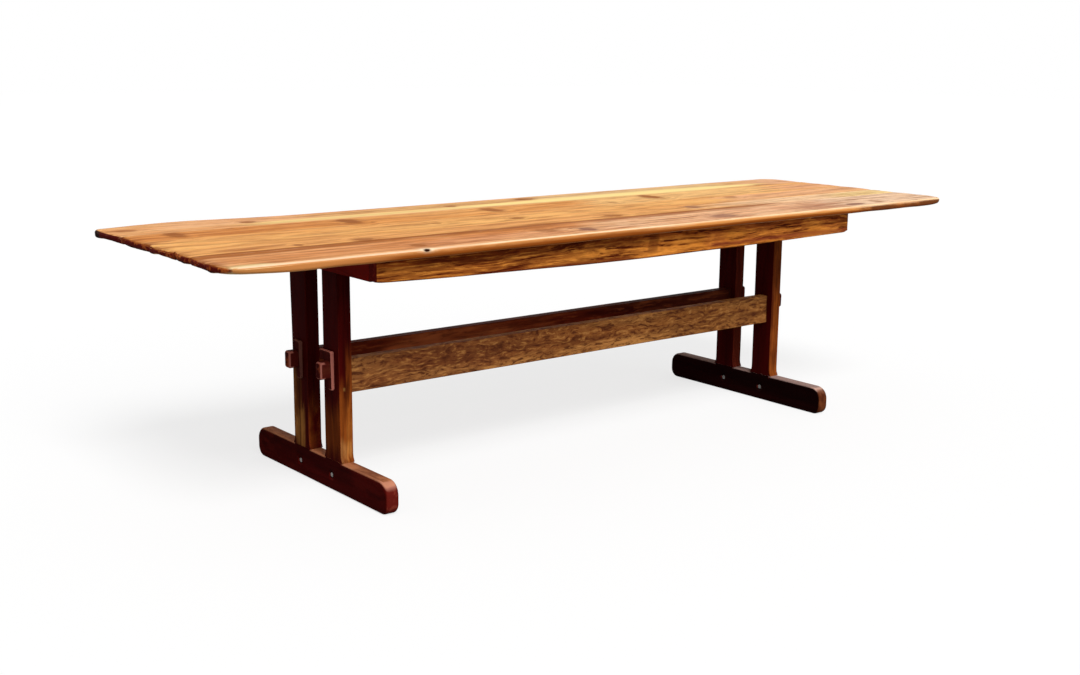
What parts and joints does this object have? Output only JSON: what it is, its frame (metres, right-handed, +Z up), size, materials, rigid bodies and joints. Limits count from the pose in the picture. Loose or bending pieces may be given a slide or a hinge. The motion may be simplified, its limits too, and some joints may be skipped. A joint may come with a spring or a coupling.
{
  "type": "trestle dining table",
  "caption": "Long trestle dining table: a plank top on a framed apron, carried by paired posts on sleigh feet and tied by keyed through-tenon stretchers.",
  "frame": {"origin": "on the floor, under the middle of the top's outline seen from above", "axes": "+X along the table, +Y across it towards the long edge that swells, +Z up"},
  "size_m": [2.9199, 0.937, 0.76],
  "materials": {
    "top_wood": "oiled, satin, orange-tan with darker grain, pale sapwood and knots",
    "hidden_wood": "planed, unfinished",
    "apron_wood": "oiled, rough-sawn, with dark fissures",
    "trestle_wood": "dark red-brown stain, satin, with paler worn arrises",
    "stretcher_wood": "weathered, rough, under a clear satin coat",
    "key_wood": "dark red-brown stain, satin",
    "peg_wood": "planed, unfinished",
    "screw_steel": "yellow zinc plate",
    "bolt_steel": "bright zinc plate"
  },
  "bodies": {
    "table": {"plank_front": "top_wood", "plank_mid_front": "top_wood", "plank_centre": "top_wood", "plank_mid_rear": "top_wood", "plank_rear": "top_wood", "tongue_1": "hidden_wood", "tongue_2": "hidden_wood", "tongue_3": "hidden_wood", "tongue_4": "hidden_wood", "centre_batten": "hidden_wood", "apron_front": "apron_wood", "apron_rear": "apron_wood", "bearer_left": "trestle_wood", "bearer_right": "trestle_wood", "post_left_front": "trestle_wood", "post_left_rear": "trestle_wood", "post_right_front": "trestle_wood", "post_right_rear": "trestle_wood", "foot_left": "trestle_wood", "foot_right": "trestle_wood", "stretcher_front": "stretcher_wood", "stretcher_rear": "stretcher_wood", "bearer_pegs": "peg_wood", "bearer_screws": "screw_steel", "batten_screws": "screw_steel", "apron_screws": "screw_steel", "foot_bolts": "bolt_steel", "foot_bolt_washers": "bolt_steel", "foot_bolt_nuts": "bolt_steel"},
    "key_left_front": {"key_left_front": "key_wood"},
    "key_left_rear": {"key_left_rear": "key_wood"},
    "key_right_front": {"key_right_front": "key_wood"},
    "key_right_rear": {"key_right_rear": "key_wood"}
  },
  "joints": [
    {"name": "key_left_front_lift", "type": "slide", "parent": "table", "child": "key_left_front", "axis": [0, 0, 1], "range_m": [0, 0.09]},
    {"name": "key_left_rear_lift", "type": "slide", "parent": "table", "child": "key_left_rear", "axis": [0, 0, 1], "range_m": [0, 0.09]},
    {"name": "key_right_front_lift", "type": "slide", "parent": "table", "child": "key_right_front", "axis": [0, 0, 1], "range_m": [0, 0.09]},
    {"name": "key_right_rear_lift", "type": "slide", "parent": "table", "child": "key_right_rear", "axis": [0, 0, 1], "range_m": [0, 0.09]}
  ]
}
